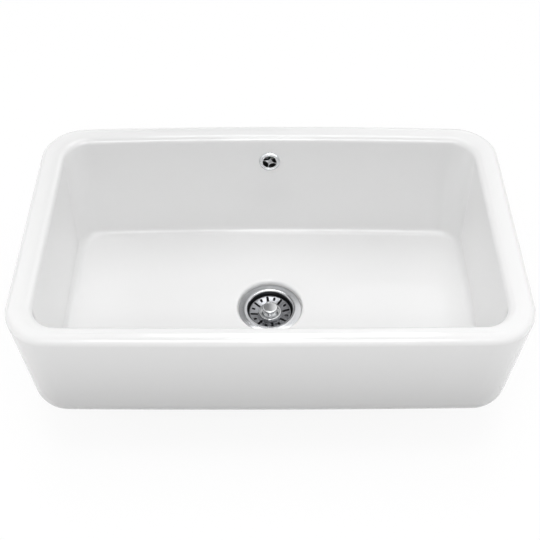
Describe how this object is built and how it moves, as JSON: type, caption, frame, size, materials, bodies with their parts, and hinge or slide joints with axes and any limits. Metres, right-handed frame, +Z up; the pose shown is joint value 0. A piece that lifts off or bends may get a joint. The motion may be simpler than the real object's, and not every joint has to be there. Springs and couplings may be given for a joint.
{
  "type": "apron front sink",
  "caption": "White fireclay apron front kitchen sink: deep bowl, rolled rim, lift-out basket strainer waste, and an overflow piped to the waste behind the back wall.",
  "frame": {"origin": "middle of the flat underside that the sink stands on, below the crossing of the two centre lines of its rim's corners", "axes": "+Z up, the apron front faces -Y, +X to the right as seen from the front"},
  "size_m": [0.7932, 0.5202, 0.3075],
  "materials": {
    "fireclay": "opaque white glaze on fireclay, high gloss",
    "stainless_pressed": "pressed stainless sheet, polished",
    "stainless_turned": "turned stainless",
    "chrome_trim": "bright chrome plating",
    "brass": "turned brass",
    "black_rubber": "moulded rubber",
    "white_foam": "pale closed-cell foam",
    "grey_plastic": "moulded acetal",
    "white_plastic": "moulded white polypropylene"
  },
  "bodies": {
    "sink": {"sink_bowl": "fireclay", "strainer_body": "stainless_pressed", "fixing_screw": "stainless_turned", "overflow_stud": "stainless_turned", "overflow_cover": "chrome_trim", "waste_insert_nut": "brass", "overflow_insert": "brass", "base_seal": "black_rubber", "overflow_rear_seal": "black_rubber", "overflow_top_seal": "black_rubber", "overflow_bottom_seal": "black_rubber", "flange_seal": "white_foam", "overflow_cover_seal": "white_foam", "screw_washer": "grey_plastic", "waste_body": "white_plastic", "overflow_elbow": "white_plastic", "overflow_pipe": "white_plastic", "overflow_top_nut": "white_plastic", "overflow_bottom_nut": "white_plastic"},
    "catch": {"catch_bush": "grey_plastic"},
    "basket": {"basket_dish": "stainless_pressed", "basket_hub": "chrome_trim", "basket_knob": "chrome_trim", "basket_post": "stainless_turned", "post_ring": "stainless_turned", "basket_spacer": "grey_plastic", "basket_plate": "stainless_turned", "basket_seal": "black_rubber", "basket_nut": "stainless_turned"}
  },
  "joints": [
    {"name": "basket_turn", "type": "hinge", "parent": "sink", "child": "catch", "pos_m": [0, -0.008, -0.025], "axis": [0, 0, 1], "continuous": true},
    {"name": "basket_lift", "type": "slide", "parent": "catch", "child": "basket", "axis": [0, 0, 1], "range_m": [0, 0.27]}
  ]
}
